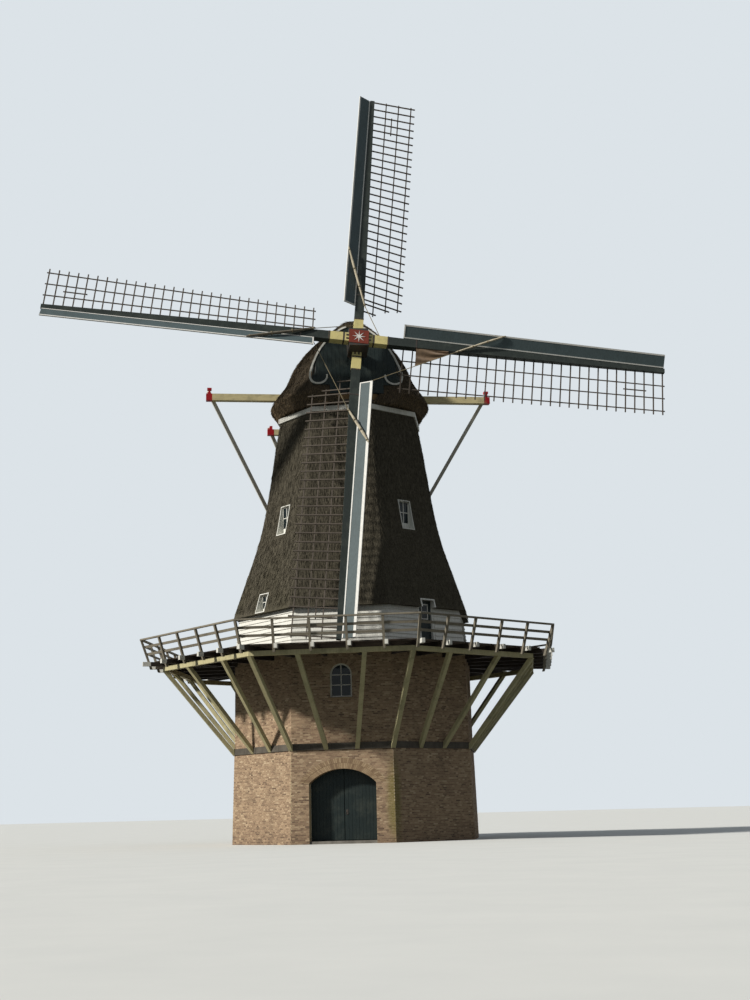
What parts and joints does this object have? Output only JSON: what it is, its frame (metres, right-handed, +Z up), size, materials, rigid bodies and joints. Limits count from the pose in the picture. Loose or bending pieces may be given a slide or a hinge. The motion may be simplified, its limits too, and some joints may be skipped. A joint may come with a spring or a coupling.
{
  "type": "traditional windmill",
  "caption": "Eight-sided thatched smock mill on a brick base with a railed stage, turning cap, tail pole and four lattice sails on a tilted windshaft.",
  "frame": {"origin": "centre of the eight-sided base on the ground", "axes": "+Z up; the entrance side faces -Y; +X to the right seen from the entrance"},
  "size_m": [25.2494, 16.5306, 32.7093],
  "materials": {
    "brick": "brown brick with pale joints",
    "arch_brick": "brick arch on edge",
    "ledge": "dark weathered course",
    "floor_stone": "worn floor",
    "plain_wood": "bare timber",
    "cream_paint": "cream yellow paint",
    "dark_wood": "tarred wood",
    "grey_paint": "grey-white paint",
    "white_paint": "white paint",
    "thatch": "weathered reed thatch",
    "glass": "window glass",
    "green_paint": "dark green paint",
    "iron": "painted iron",
    "stock_paint": "dark green paint on riveted steel",
    "canvas": "brown sailcloth, rolled"
  },
  "bodies": {
    "tower": {"front_pier_left": "brick", "front_pier_right": "brick", "front_wall": "brick", "right_front_wall": "brick", "right_wall": "brick", "right_rear_wall": "brick", "rear_wall": "brick", "left_rear_wall": "brick", "left_wall": "brick", "left_front_wall": "brick", "entrance_arch": "arch_brick", "ledge_course": "ledge", "ground_floor": "floor_stone", "first_floor": "plain_wood", "stage_floor": "plain_wood", "smock_floor": "plain_wood", "stage_struts": "cream_paint", "stage_ring_beam": "cream_paint", "stage_joists": "dark_wood", "stage_deck": "dark_wood", "railing_posts": "grey_paint", "railing_rails": "grey_paint", "smock_skirt": "white_paint", "smock_thatch": "thatch", "smock_head": "white_paint", "window_frames": "white_paint", "window_glass": "glass", "stage_door": "green_paint", "door_pintles": "iron"},
    "cap": {"cap_frame": "plain_wood", "cap_thatch": "thatch", "cap_front": "green_paint", "beard_board": "green_paint", "cap_trims": "white_paint", "crossbeams": "cream_paint", "braces": "cream_paint", "tail_pole": "cream_paint", "tail_winch": "dark_wood"},
    "sails": {"windshaft": "iron", "inner_stock": "stock_paint", "outer_stock": "stock_paint", "leading_boards": "green_paint", "inner_lattices": "dark_wood", "outer_lattices": "dark_wood", "furled_sails": "canvas"},
    "left_door": {"left_entrance_door": "green_paint"},
    "right_door": {"right_entrance_door": "green_paint"}
  },
  "joints": [
    {"name": "cap_turn", "type": "hinge", "parent": "tower", "child": "cap", "pos_m": [0, 0, 17.85], "axis": [0, 0, 1], "continuous": true},
    {"name": "windshaft_turn", "type": "hinge", "parent": "cap", "child": "sails", "pos_m": [0.85408, -3.57952, 20.155], "axis": [0.2267, -0.9501, 0.2142], "continuous": true},
    {"name": "left_door_swing", "type": "hinge", "parent": "tower", "child": "left_door", "pos_m": [-1.372, -4.12546, 0.55], "axis": [0, 0, 1], "range_deg": [0, 100]},
    {"name": "right_door_swing", "type": "hinge", "parent": "tower", "child": "right_door", "pos_m": [1.372, -4.12546, 0.55], "axis": [0, 0, -1], "range_deg": [0, 100]}
  ]
}
